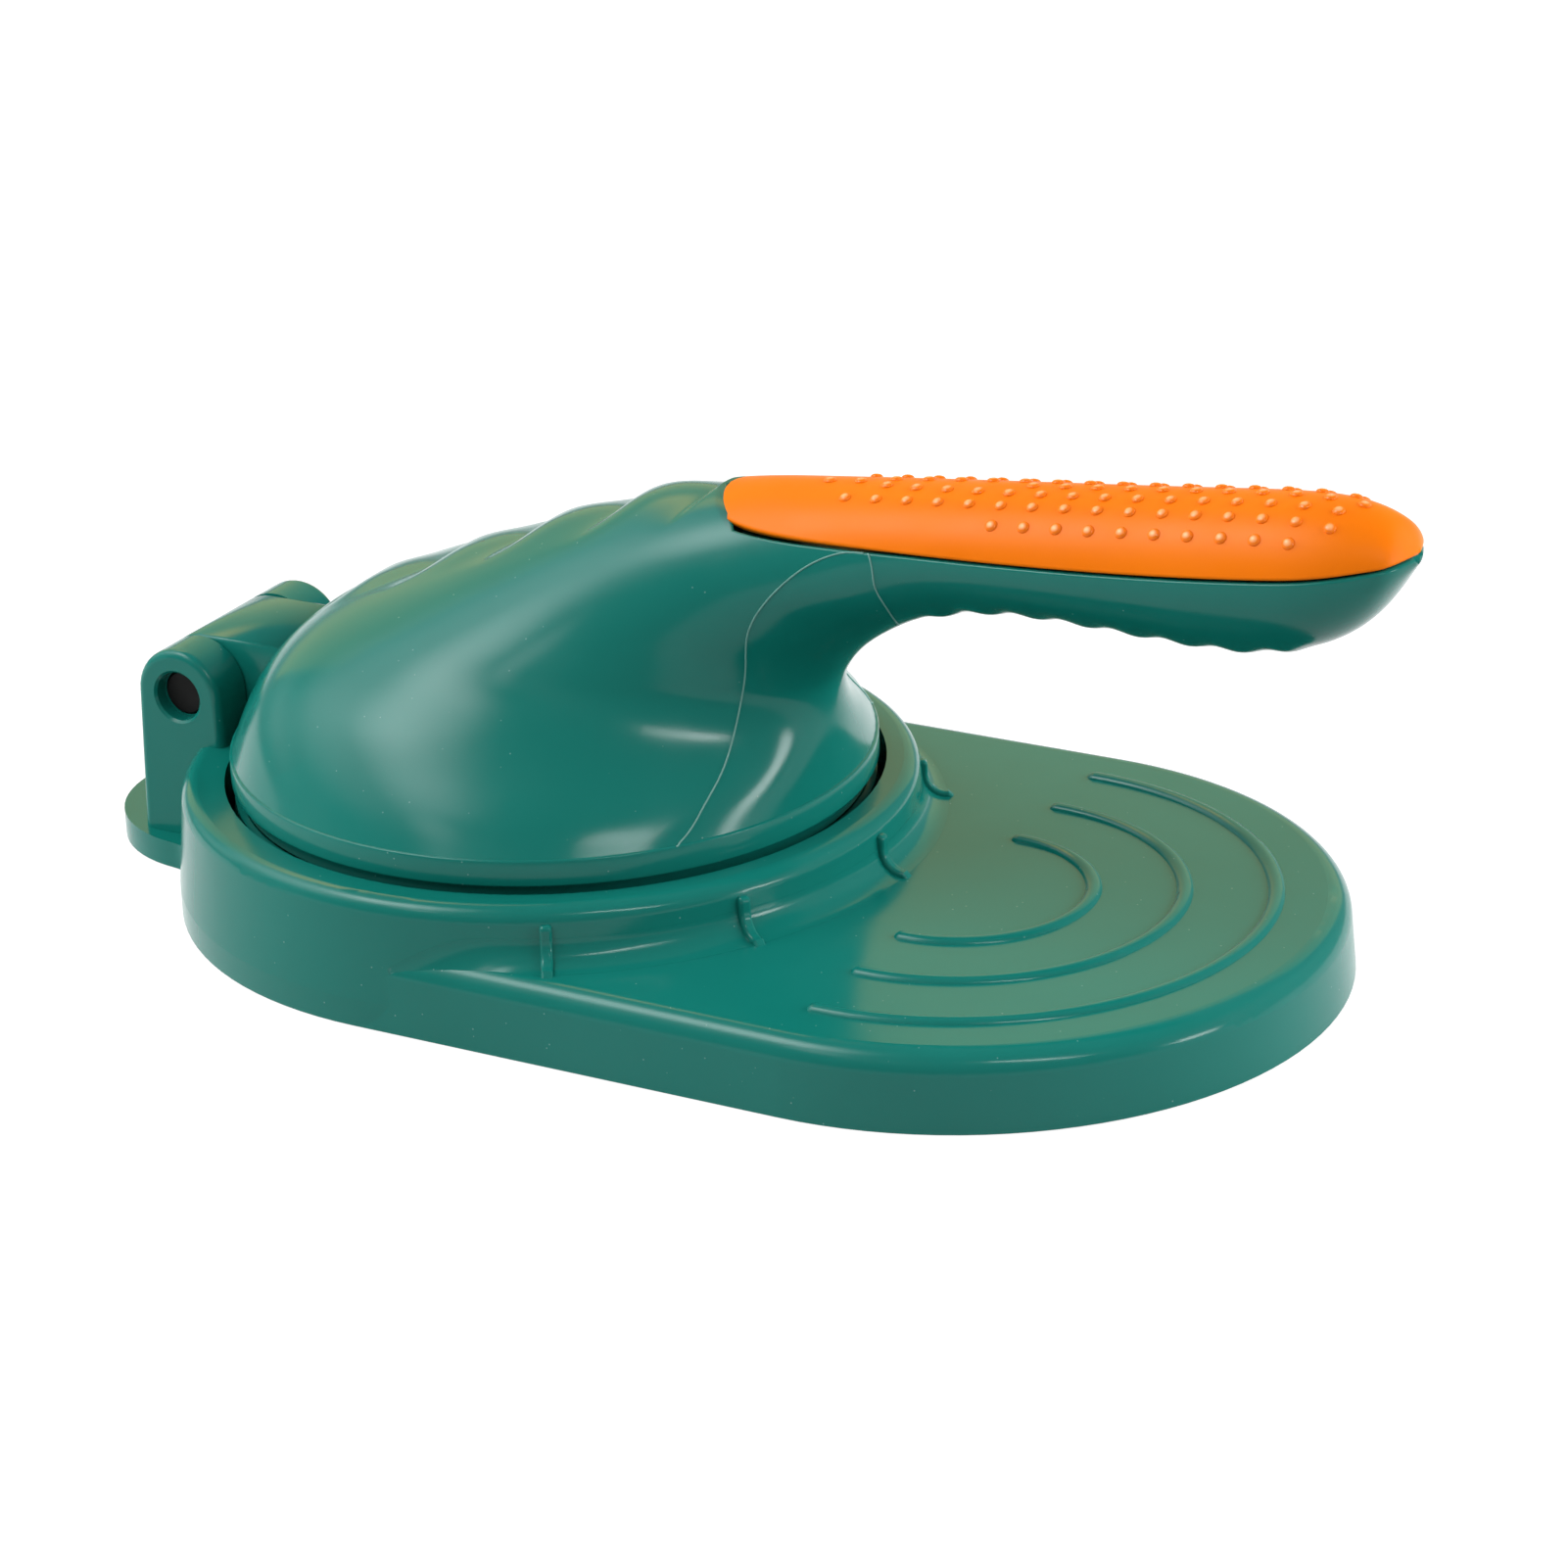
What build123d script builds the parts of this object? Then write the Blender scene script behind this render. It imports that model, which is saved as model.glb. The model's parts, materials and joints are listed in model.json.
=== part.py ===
from build123d import *
from math import cos, hypot, pi, radians, sin, sqrt, tan
import os

os.makedirs("parts", exist_ok=True)

# Hand press for small round dough skins: a base with a round bed and a wide apron, and a domed
# lid with one long handle, hinged on a pin at the back. Millimetres. +X points from the hinge to
# the handle's tip, +Z up. The origin is on the table, midway between the tail and the handle's tip.

# Overall reach, measured from the middle of the round wall
tail_reach = 77.3
handle_reach = 142.0
ring_x = (tail_reach - handle_reach) / 2

# Base shell
foot_stand = 0.2
ring_r = 58.3
ring_top_r = 56.9
ring_top = 20.5
ring_edge = 2.6
apron_run = 70.9
apron_top = 12.0
apron_edge = 3.6
apron_draft = 4.5
wall = 2.4
bed_r = 51.1
bed_x = 0.9
deck_top = 8.0

# Raised marks on the base shell
arc_radii = (19.5, 33.0, 46.5)
arc_width = 2.6
arc_height = 0.8
rib_width = 1.8
rib_high = 0.8
rib_hollow = 4.0
rib_drop = 2.3
rib_edge = 0.5
rib_count = 5
rib_spread = 120.0

# Tail flange and hinge
tail_half = 21.5
tail_flare = 6.0
tail_top = 4.5
hinge_back = 57.0
hinge_z = 28.0
ear_r = 7.6
ear_inner = 10.3
ear_outer = 18.0
ear_splay = 1.0
ear_round = 1.3
pin_r = 3.7
pin_sink = 2.2
pin_gap = 0.3
pin_play = 0.05
pin_edge = 0.4
bore_edge = 0.4
knuckle_play = 0.4
notch_play = 0.8

# Bed plate, its screws and the feet
bed_play = 0.5
plate_thick = 2.5
bed_plate_top = 14.0
plate_edge = 0.8
plate_skin = 0.9
plate_boss_r = 3.6
bed_screw_ring = 34.0
bed_screw_r = 1.25
bed_screw_head_r = 2.8
bed_screw_head = 1.7
screw_play = 0.35
screw_tip_gap = 0.3
screw_point = 0.5
head_edge = 0.5
cross_width = 0.8
cross_deep = 0.7
foot_r = 6.0
foot_pad = 2.0
foot_stem_r = 2.0
foot_stem = 2.8
foot_play = 0.2
socket_wall = 1.5
foot_ring = 46.0
rear_foot_angle = 150.0
front_foot_angle = 45.0
foot_edge = 0.6
stiffener = 1.6
stiffener_lift = 1.0
apron_stiffener_y = 18.4

# Lid
lid_r = 50.0
rim_z = 25.3
shoulder = 0.4
skirt_bottom = 18.5
skirt_wall = 2.6
dough_gap = 1.0
press_face_r = 44.6
press_step = 1.0
press_edge = 0.6
press_play = 0.4
lid_screw_inset = 3.0
lid_screw_r = 1.1
lid_screw_head_r = 1.9
lid_screw_head = 1.3
lid_screw_long = 5.5
lid_boss_r = 2.7
press_rib = 2.5
boss_drop = 0.3
knuckle_run = 9.0
knuckle_lift = 1.0

# The number of points on half an oval, and how much more a slanted wall draws in at its sides
oval_steps = 10
side_share = 1.2

# Handle
handle_half = 11.8
crown_tip_z = 76.4
throat_z = 58.3
seam_gap = 0.25
post_r = 3.0
post_wall = 1.4
post_up = 5.0
post_backs = (78.0, 28.0)
seam_points = (
    (106.9, 3.6), (106.1, 6.0), (104.0, 7.7), (98.0, 8.8), (86.0, 9.0), (62.0, 8.1),
    (34.0, 6.0), (20.0, 4.5), (9.0, 3.0), (-0.5, 1.2))

# How far a shape runs past the face that it joins or cuts, and how near counts as the same
overlap = 0.5
near = 0.01


def level(z):
    """Level plane at height z, centred on the round wall."""
    return Plane(origin=(ring_x, 0, z))


def bed_level(z):
    """Level plane at height z, centred on the bed."""
    return Plane(origin=(ring_x + bed_x, 0, z))


# Upright plane along the press: local x from the round wall's middle, local y up
side = Plane(origin=(ring_x, 0, 0), x_dir=(1, 0, 0), z_dir=(0, -1, 0))
ring_axis = Axis((ring_x, 0, 0), (0, 0, 1))
apron_axis = Axis((ring_x + apron_run, 0, 0), (0, 0, 1))
hinge_spot = (-hinge_back, hinge_z)

deck_bottom = deck_top - wall
apron_bottom = apron_top - wall
apron_draw = (apron_top - foot_stand) * tan(radians(apron_draft))
stiffener_z = foot_stand + stiffener_lift
notch_floor = hinge_z - ear_r - notch_play
screw_clear_r = bed_screw_r + screw_play


# The round tail's sides flare out to the round wall in arcs that touch both
tail_mid = tail_reach - tail_half
to_ring, to_tail = ring_r + tail_flare, tail_half + tail_flare
flare_x = -(tail_mid ** 2 + to_ring ** 2 - to_tail ** 2) / (2 * tail_mid)
flare_y = sqrt(to_ring ** 2 - flare_x ** 2)
on_ring = (flare_x * ring_r / to_ring, flare_y * ring_r / to_ring)
on_tail = ((flare_x + tail_mid) * tail_half / to_tail - tail_mid, flare_y * tail_half / to_tail)


def foot_places(z):
    """The four feet, at height z: two under the bed's rear, two under the apron's front."""
    places = {}
    for name, way in (("left", 1), ("right", -1)):
        rear, front = radians(rear_foot_angle), radians(front_foot_angle)
        places["foot_rear_" + name] = (
            ring_x + foot_ring * cos(rear), way * foot_ring * sin(rear), z)
        places["foot_front_" + name] = (
            ring_x + apron_run + foot_ring * cos(front), way * foot_ring * sin(front), z)
    return places


def base_walls():
    """Apron slab, round wall, tail flange and hinge ears, before they are hollowed."""
    with BuildPart() as walls:
        with BuildSketch(level(foot_stand)):
            with Locations((apron_run / 2, 0)):
                SlotCenterToCenter(apron_run, 2 * ring_r)
        extrude(amount=apron_top - foot_stand, taper=apron_draft)
        fillet(walls.faces().sort_by(Axis.Z)[-1].edges(), apron_edge)
        with BuildSketch(side):
            with BuildLine():
                Polyline((0, foot_stand), (ring_r, foot_stand), (ring_r, tail_top),
                         (ring_top_r, ring_top), (0, ring_top), close=True)
            make_face()
        revolve(axis=ring_axis)
        fillet(walls.edges().filter_by(GeomType.CIRCLE).sort_by(Axis.Z)[-1], ring_edge)
        with BuildSketch(level(foot_stand)):
            with BuildLine():
                (x, y), (tail_x, tail_y) = on_ring, on_tail
                TangentArc((x, y), (tail_x, tail_y), tangent=(-y, x))
                ThreePointArc((tail_x, tail_y), (-tail_reach, 0), (tail_x, -tail_y))
                TangentArc((x, -y), (tail_x, -tail_y), tangent=(-y, -x))
                Line((x, -y), (x, y))
            make_face()
            Circle(ring_r)
        extrude(amount=tail_top - foot_stand)
    return walls.part


def hinge_ears():
    """The two upright ears of the hinge, each splayed a little towards its foot."""
    with BuildPart() as ears:
        for way in (1, -1):
            face = Plane(origin=(ring_x, way * (ear_inner + ear_outer) / 2, 0),
                         x_dir=(1, 0, 0), z_dir=(0, -1, 0))
            with BuildSketch(face):
                with Locations(hinge_spot):
                    Circle(ear_r)
                with BuildLine():
                    Polyline(
                        (-hinge_back - ear_r, hinge_z), (-hinge_back + ear_r, hinge_z),
                        (-hinge_back + ear_r + ear_splay, foot_stand),
                        (-hinge_back - ear_r - ear_splay, foot_stand), close=True)
                make_face()
            extrude(amount=(ear_outer - ear_inner) / 2, both=True)
        rounded = ears.edges().filter_by(lambda e: abs(e.center().Z) > tail_top)
        fillet(rounded.filter_by(lambda e: abs(abs(e.center().Y) - ear_outer) < near), ear_round)
    return ears.part


# A rib's face is upright above, then curves out hollow to the apron
with BuildPart() as rib:
    rib_top_z = ring_top - rib_drop
    rib_face = ring_r - apron_draw + rib_high
    rib_toe = rib_face + rib_hollow - rib_high
    with BuildSketch(side) as rib_side:
        with BuildLine():
            Polyline((rib_face, apron_top + rib_hollow), (rib_face, rib_top_z),
                     (ring_r - wall, rib_top_z), (ring_r - wall, apron_top - overlap),
                     (rib_toe + rib_high, apron_top - overlap), (rib_toe + rib_high, apron_top),
                     (rib_toe, apron_top + rib_high))
            TangentArc((rib_face, apron_top + rib_hollow), (rib_toe, apron_top + rib_high),
                       tangent=(0, -1))
        make_face()
        fillet(rib_side.vertices().group_by(Axis.Y)[-1].sort_by(Axis.X)[-1], rib_high)
    extrude(amount=rib_width / 2, both=True)
    outside = [e for e in rib.edges() if abs(abs(e.center().Y) - rib_width / 2) < near
               and e.center().X > ring_x + rib_face - rib_high and e.center().Z > apron_top + near]
    fillet(outside, rib_edge)


def apron_outline(inset):
    """Outline of the apron and round wall, drawn in by inset."""
    with BuildSketch() as outline:
        with Locations((apron_run / 2, 0)):
            SlotCenterToCenter(apron_run, 2 * (ring_r - inset))
    return outline.sketch


with BuildPart() as base_shell:
    add(base_walls())
    add(hinge_ears())
    # Bed recess, and the notch in the round wall for the knuckle
    with BuildSketch(bed_level(deck_top)):
        Circle(bed_r)
    extrude(amount=ring_top, mode=Mode.SUBTRACT)
    with BuildSketch(level(notch_floor)):
        with Locations((-(ring_r + tail_reach) / 2 + ear_r, 0)):
            Rectangle(tail_reach - ring_r + 2 * ear_r, 2 * ear_inner)
    extrude(amount=2 * ear_r, mode=Mode.SUBTRACT)
    # Hollow underside: low under the deck, higher under the apron
    with BuildSketch(level(0)):
        add(apron_outline(wall + apron_draw))
    extrude(amount=deck_bottom, mode=Mode.SUBTRACT)
    with BuildSketch(level(0)):
        add(apron_outline(wall + apron_draw))
        Circle(ring_r - wall, mode=Mode.SUBTRACT)
    extrude(amount=apron_bottom, mode=Mode.SUBTRACT)
    # Stiffening ribs below the deck and the apron
    with BuildSketch(level(stiffener_z)):
        Rectangle(2 * (ring_r - wall), stiffener)
        Rectangle(stiffener, 2 * (ring_r - wall))
    extrude(amount=deck_bottom + overlap - stiffener_z)
    with BuildSketch(level(stiffener_z)):
        with Locations((apron_run, apron_stiffener_y), (apron_run, -apron_stiffener_y)):
            Rectangle(2 * ring_r, stiffener)
        Circle(ring_r - wall - overlap, mode=Mode.SUBTRACT)
        add(apron_outline(wall), mode=Mode.INTERSECT)
    extrude(amount=apron_bottom + overlap - stiffener_z)
    # Sockets for the feet, and holes for the screws that hold the bed plate
    for name, (x, y, z) in foot_places(stiffener_z).items():
        roof = deck_bottom if "rear" in name else apron_bottom
        with BuildSketch(Plane(origin=(x, y, z))):
            Circle(foot_r + foot_play + socket_wall)
        extrude(amount=roof + overlap - z)
    for x, y, z in foot_places(foot_pad).values():
        with BuildSketch(Plane(origin=(x, y, 0))):
            Circle(foot_r + foot_play)
        extrude(amount=z, mode=Mode.SUBTRACT)
        with BuildSketch(Plane(origin=(x, y, 0))):
            Circle(foot_stem_r)
        extrude(amount=z + foot_stem, mode=Mode.SUBTRACT)
    with BuildSketch(bed_level(0)):
        with PolarLocations(bed_screw_ring, 4, start_angle=45):
            Circle(screw_clear_r)
    extrude(amount=deck_top + overlap, mode=Mode.SUBTRACT)
    # Pin bore through both ears, with a wider, broken edge at each outer face
    with BuildSketch(side):
        with Locations(hinge_spot):
            Circle(pin_r)
    extrude(amount=ear_outer + overlap, both=True, mode=Mode.SUBTRACT)
    for way in (1, -1):
        face = Plane(origin=(ring_x, way * ear_outer, 0), x_dir=(1, 0, 0), z_dir=(0, -1, 0))
        with BuildSketch(face):
            with Locations(hinge_spot):
                Circle(pin_r + pin_gap)
        extrude(amount=way * (pin_sink + pin_gap), mode=Mode.SUBTRACT)
    rims = base_shell.edges().filter_by(GeomType.CIRCLE)
    rims = rims.filter_by(lambda e: abs(e.radius - pin_r - pin_gap) < near)
    chamfer(rims.filter_by(lambda e: abs(abs(e.center().Y) - ear_outer) < near), bore_edge)
    # Ribs outside the round wall
    with Locations((ring_x, 0, 0)):
        with PolarLocations(0, rib_count, start_angle=-rib_spread / 2,
                            angular_range=rib_spread, endpoint=True):
            add(rib.part.moved(Location((-ring_x, 0, 0))))
    # Raised arcs on the apron, with round ends
    bead_r = (arc_width ** 2 / 4 + arc_height ** 2) / (2 * arc_height)
    bead_z = apron_top + arc_height - bead_r
    arc_start = Plane(origin=(ring_x + apron_run, 0, 0), x_dir=(0, -1, 0), z_dir=(-1, 0, 0))
    for radius in arc_radii:
        with BuildSketch(arc_start):
            with Locations((radius, bead_z)):
                Circle(bead_r)
        revolve(axis=apron_axis, revolution_arc=180)
        for way in (1, -1):
            with Locations((ring_x + apron_run, way * radius, bead_z)):
                Sphere(bead_r)
base_shell.part.label = "base_shell"
export_step(base_shell.part, "parts/base_shell.step")

# Bed plate: a shallow pan, face up, with four bosses for its screws
with BuildPart() as bed_plate:
    plate_r = bed_r - bed_play
    with BuildSketch(bed_level(deck_top)):
        Circle(plate_r)
    extrude(amount=bed_plate_top - deck_top)
    fillet(bed_plate.faces().sort_by(Axis.Z)[-1].edges(), plate_edge)
    with BuildSketch(bed_level(deck_top)):
        Circle(plate_r - wall)
        with PolarLocations(bed_screw_ring, 4, start_angle=45):
            Circle(plate_boss_r, mode=Mode.SUBTRACT)
    extrude(amount=bed_plate_top - plate_thick - deck_top, mode=Mode.SUBTRACT)
    with BuildSketch(bed_level(deck_top)):
        with PolarLocations(bed_screw_ring, 4, start_angle=45):
            Circle(bed_screw_r)
    extrude(amount=bed_plate_top - deck_top - plate_skin, mode=Mode.SUBTRACT)
bed_plate.part.label = "bed_plate"
export_step(bed_plate.part, "parts/bed_plate.step")


def screw(place, head_z, head_r, head_long, shank_r, tip_z, name):
    """A pan head screw pointing up, with a cross recess in its head."""
    with BuildPart() as body:
        with BuildSketch(Plane(origin=(*place, head_z - head_long))):
            Circle(head_r)
        extrude(amount=head_long)
        fillet(body.edges().sort_by(Axis.Z)[0], head_edge)
        with BuildSketch(Plane(origin=(*place, head_z - head_long))):
            Rectangle(2 * (head_r - cross_width), cross_width)
            Rectangle(cross_width, 2 * (head_r - cross_width))
        extrude(amount=cross_deep, mode=Mode.SUBTRACT)
        with BuildSketch(Plane(origin=(*place, head_z))):
            Circle(shank_r)
        extrude(amount=tip_z - head_z)
        chamfer(body.edges().sort_by(Axis.Z)[-1], screw_point)
    body.part.label = name
    export_step(body.part, "parts/" + name + ".step")


def round_places(radius):
    """Four places at 45 degrees round the bed's middle."""
    return [(ring_x + bed_x + radius * cos(radians(a)), radius * sin(radians(a)))
            for a in (45, 135, 225, 315)]


for number, place in enumerate(round_places(bed_screw_ring), 1):
    screw(place, deck_bottom, bed_screw_head_r, bed_screw_head, bed_screw_r,
          bed_plate_top - plate_skin - screw_tip_gap, "bed_screw_" + str(number))

# Rubber feet: a round pad with a stem that is pushed into the base shell
for name, (x, y, z) in foot_places(foot_pad).items():
    with BuildPart() as foot:
        with BuildSketch(Plane(origin=(x, y, 0))):
            Circle(foot_r)
        extrude(amount=foot_pad)
        fillet(foot.edges().sort_by(Axis.Z)[0], foot_edge)
        with BuildSketch(Plane(origin=(x, y, foot_pad))):
            Circle(foot_stem_r)
        extrude(amount=foot_stem)
    foot.part.label = name
    export_step(foot.part, "parts/" + name + ".step")

# Hinge pin, a little shorter than the ears are wide
with BuildPart() as hinge_pin:
    with BuildSketch(side):
        with Locations(hinge_spot):
            Circle(pin_r)
    extrude(amount=ear_outer - pin_sink, both=True)
    chamfer(hinge_pin.edges().filter_by(GeomType.CIRCLE), pin_edge)
hinge_pin.part.label = "hinge_pin"
export_step(hinge_pin.part, "parts/hinge_pin.step")

# The lid and its handle are one swelling form. It is drawn as slanted sections, which start level
# at the rim and tilt forward until they stand upright across the handle. Each section is an oval
# between a point on the crown and a point on the throat, both in the middle plane.
rim_rear = bed_x - lid_r
rim_front = bed_x + lid_r


def dome_section(crown_in, crown_up, throat_in, throat_up, side_in, lean):
    """A section of the dome, given by how far it draws in from the rim and rises above it."""
    return ((rim_rear + crown_in, rim_z + crown_up), (rim_front - throat_in, rim_z + throat_up),
            lid_r - side_in, lean)


def handle_section(crown_back, crown_down, throat_back, throat_up, side_in):
    """A section of the handle, given from the handle's tip, its throat and its half width."""
    return ((handle_reach - crown_back, crown_tip_z - crown_down),
            (handle_reach - throat_back, throat_z + throat_up), handle_half - side_in, 0)


sections = [
    dome_section(shoulder, 0, shoulder, 0, shoulder, 0),
    dome_section(2.1, 4.5, 0.4, 3.9, 3.2, 0.08),
    dome_section(4.9, 10.2, 0.4, 8.2, 8.0, 0.20),
    dome_section(9.6, 15.5, 0.5, 12.0, 13.5, 0.28),
    dome_section(17.1, 19.9, 0.3, 15.2, 19.0, 0.30),
    dome_section(29.1, 25.3, -0.7, 18.0, 24.0, 0.28),
    dome_section(42.1, 30.8, -2.6, 20.7, 28.2, 0.24),
    dome_section(56.1, 36.6, -5.7, 23.7, 31.8, 0.18),
    dome_section(69.1, 41.6, -10.1, 26.7, 34.6, 0.12),
    handle_section(108.5, 5.8, 75.2, -3.4, -1.4),
    handle_section(93.6, 3.6, 67.0, -1.1, 0),
    handle_section(74.0, 1.3, 56.0, 0, 0.3),
    handle_section(36.0, -2.9, 32.0, -0.5, 0),
    handle_section(21.0, -4.5, 20.5, 0.4, 0.2),
    handle_section(10.5, -4.7, 11.0, 3.6, 1.8),
    handle_section(4.0, -2.9, 4.6, 9.4, 4.8),
    handle_section(1.1, -0.5, 1.2, 14.3, 7.9),
    handle_section(0, 0.8, 0, 15.9, 10.6),
]


def half_oval(crown, throat, half, lean):
    """Left half of an oval across the press; lean makes its crown end wider than its throat end."""
    run, rise = throat[0] - crown[0], throat[1] - crown[1]
    plane = Plane(origin=(ring_x + crown[0], 0, crown[1]), x_dir=(run, 0, rise), z_dir=(-rise, 0, run))
    points = []
    for step in range(oval_steps + 1):
        turn = pi * step / oval_steps
        points.append((hypot(run, rise) * (1 - cos(turn)) / 2,
                       half * sin(turn) * (1 + lean * cos(turn))))
    with BuildSketch(plane) as drawn:
        with BuildLine():
            Spline(*points, tangents=((0, 1), (0, -1)))
            Line(points[-1], points[0])
        make_face()
    return drawn.sketch


def drawn_in(index, depth):
    """Section number index, moved inwards by depth from the crown, the throat and the sides."""
    crown, throat, half, lean = sections[index]
    moved = []
    for end, point, way in ((0, crown, 1), (1, throat, -1)):
        before = sections[max(index - 1, 0)][end]
        after = sections[min(index + 1, len(sections) - 1)][end]
        run, rise = after[0] - before[0], after[1] - before[1]
        size = hypot(run, rise)
        moved.append((point[0] + way * depth * rise / size, point[1] - way * depth * run / size))
    return moved[0], moved[1], half - depth * side_share, lean


with BuildPart() as lid_form:
    loft([half_oval(*section) for section in sections])
    mirror(about=Plane.XZ)

with BuildPart() as lid_hollow:
    loft([half_oval(*drawn_in(index, wall)) for index in range(len(sections) - 3)])
    mirror(about=Plane.XZ)


def above_seam(shift):
    """Everything over the seam between the grip and the handle, moved in from it by shift."""
    seam = [(handle_reach - back + shift, crown_tip_z - down + shift) for back, down in seam_points]
    roof = crown_tip_z + 2 * handle_half
    with BuildPart() as over:
        with BuildSketch(side):
            with BuildLine():
                Spline(*seam)
                Polyline(seam[-1], (seam[-1][0], roof), (seam[0][0], roof), seam[0])
            make_face()
        extrude(amount=2 * handle_half, both=True)
    return over.part


def posts(radius, low, high):
    """Upright posts inside the handle, kept within the lid's outer form."""
    with BuildPart() as standing:
        for back in post_backs:
            with BuildSketch(Plane(origin=(ring_x + handle_reach - back, 0, low))):
                Circle(radius)
            extrude(amount=high - low)
        add(lid_form.part, mode=Mode.INTERSECT)
    return standing.part


post_z = throat_z + post_up
roof_z = crown_tip_z + handle_half
boss_top = rim_z - boss_drop
lid_screw_ring = lid_r - lid_screw_inset

with BuildPart() as lid_shell:
    add(lid_form.part)
    # Skirt below the rim
    with BuildSketch(bed_level(skirt_bottom)):
        Circle(lid_r)
    extrude(amount=rim_z - skirt_bottom)
    # Hinge knuckle: round the pin, with a flat top that runs into the dome
    with BuildSketch(side):
        with Locations(hinge_spot):
            Circle(ear_r)
        with BuildLine():
            knuckle_end = rim_rear + knuckle_run
            Polyline((-hinge_back, hinge_z + ear_r), (knuckle_end, hinge_z + ear_r),
                     (knuckle_end, hinge_z - ear_r + knuckle_lift),
                     (-hinge_back, hinge_z - ear_r), close=True)
        make_face()
    extrude(amount=ear_inner - knuckle_play, both=True)
    # Hollow inside
    add(lid_hollow.part, mode=Mode.SUBTRACT)
    with BuildSketch(bed_level(skirt_bottom)):
        Circle(lid_r - skirt_wall)
    extrude(amount=rim_z + overlap - skirt_bottom, mode=Mode.SUBTRACT)
    # Bosses for the press plate's screws, and under the grip's posts
    with BuildSketch(Plane.XY.offset(skirt_bottom)):
        with Locations(*round_places(lid_screw_ring)):
            Circle(lid_boss_r)
    extrude(amount=boss_top - skirt_bottom)
    with BuildSketch(Plane.XY.offset(skirt_bottom)):
        with Locations(*round_places(lid_screw_ring)):
            Circle(lid_screw_r)
    extrude(amount=lid_screw_long, mode=Mode.SUBTRACT)
    add(posts(post_r + post_wall, rim_z, post_z))
    with BuildSketch(side):
        with Locations(hinge_spot):
            Circle(pin_r + pin_play)
    extrude(amount=ear_inner, both=True, mode=Mode.SUBTRACT)
    add(above_seam(0), mode=Mode.SUBTRACT)
lid_shell.part.label = "lid_shell"
export_step(lid_shell.part, "parts/lid_shell.step")

with BuildPart() as grip_pad:
    add(lid_form.part)
    add(lid_hollow.part, mode=Mode.SUBTRACT)
    add(above_seam(seam_gap), mode=Mode.INTERSECT)
    add(posts(post_r, post_z, roof_z))
grip_pad.part.label = "grip_pad"
export_step(grip_pad.part, "parts/grip_pad.step")

# Press plate: a stepped disc under the skirt, with a stiffening ring on its back
press_face_z = bed_plate_top + dough_gap
with BuildPart() as press_plate:
    with BuildSketch(bed_level(press_face_z)):
        Circle(press_face_r)
    extrude(amount=press_step)
    fillet(press_plate.edges().sort_by(Axis.Z)[0], press_edge)
    with BuildSketch(bed_level(press_face_z + press_step)):
        Circle(lid_r - press_play)
    extrude(amount=skirt_bottom - press_face_z - press_step)
    with BuildSketch(bed_level(skirt_bottom)):
        back_ring_r = press_face_r - 2 * wall
        Circle(back_ring_r + wall / 2)
        Circle(back_ring_r - wall / 2, mode=Mode.SUBTRACT)
        Rectangle(2 * back_ring_r, stiffener)
        Rectangle(stiffener, 2 * back_ring_r)
    extrude(amount=press_rib)
    with BuildSketch(Plane.XY.offset(press_face_z)):
        with Locations(*round_places(lid_screw_ring)):
            Circle(lid_screw_head_r + screw_play)
    extrude(amount=lid_screw_head + press_step, mode=Mode.SUBTRACT)
    with BuildSketch(Plane.XY.offset(press_face_z)):
        with Locations(*round_places(lid_screw_ring)):
            Circle(lid_screw_r + screw_play)
    extrude(amount=skirt_bottom - press_face_z, mode=Mode.SUBTRACT)
press_plate.part.label = "press_plate"
export_step(press_plate.part, "parts/press_plate.step")

for number, place in enumerate(round_places(lid_screw_ring), 1):
    screw(place, press_face_z + press_step + lid_screw_head, lid_screw_head_r, lid_screw_head,
          lid_screw_r, skirt_bottom + lid_screw_long - screw_tip_gap, "plate_screw_" + str(number))
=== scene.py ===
import bpy
import bmesh
import json
import math
import numpy as np
from mathutils import Matrix, Vector
from mathutils.bvhtree import BVHTree
from mathutils.kdtree import KDTree

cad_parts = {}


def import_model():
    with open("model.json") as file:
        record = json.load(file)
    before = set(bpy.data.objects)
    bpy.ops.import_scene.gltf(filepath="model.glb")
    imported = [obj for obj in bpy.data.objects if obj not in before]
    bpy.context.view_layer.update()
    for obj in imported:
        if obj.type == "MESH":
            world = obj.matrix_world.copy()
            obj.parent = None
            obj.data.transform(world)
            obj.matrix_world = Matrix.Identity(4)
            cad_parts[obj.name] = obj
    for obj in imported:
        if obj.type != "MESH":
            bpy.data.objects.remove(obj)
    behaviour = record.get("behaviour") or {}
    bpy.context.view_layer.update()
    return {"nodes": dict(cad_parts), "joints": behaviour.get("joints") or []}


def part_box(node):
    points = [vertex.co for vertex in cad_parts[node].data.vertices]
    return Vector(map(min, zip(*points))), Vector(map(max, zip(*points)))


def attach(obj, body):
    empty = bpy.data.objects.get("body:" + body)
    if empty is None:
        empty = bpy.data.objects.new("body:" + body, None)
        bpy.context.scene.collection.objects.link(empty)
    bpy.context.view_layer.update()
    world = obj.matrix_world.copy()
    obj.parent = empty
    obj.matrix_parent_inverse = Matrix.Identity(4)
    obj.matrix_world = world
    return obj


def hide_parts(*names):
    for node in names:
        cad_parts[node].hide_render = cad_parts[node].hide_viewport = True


# The press at rest, dressed for a product picture. Blender works in metres. The shapes of the lid
# and the grip are worked out in millimetres from the middle of the round wall, then turned to metres.
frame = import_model()
nodes = frame["nodes"]
MM = 0.001

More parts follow.
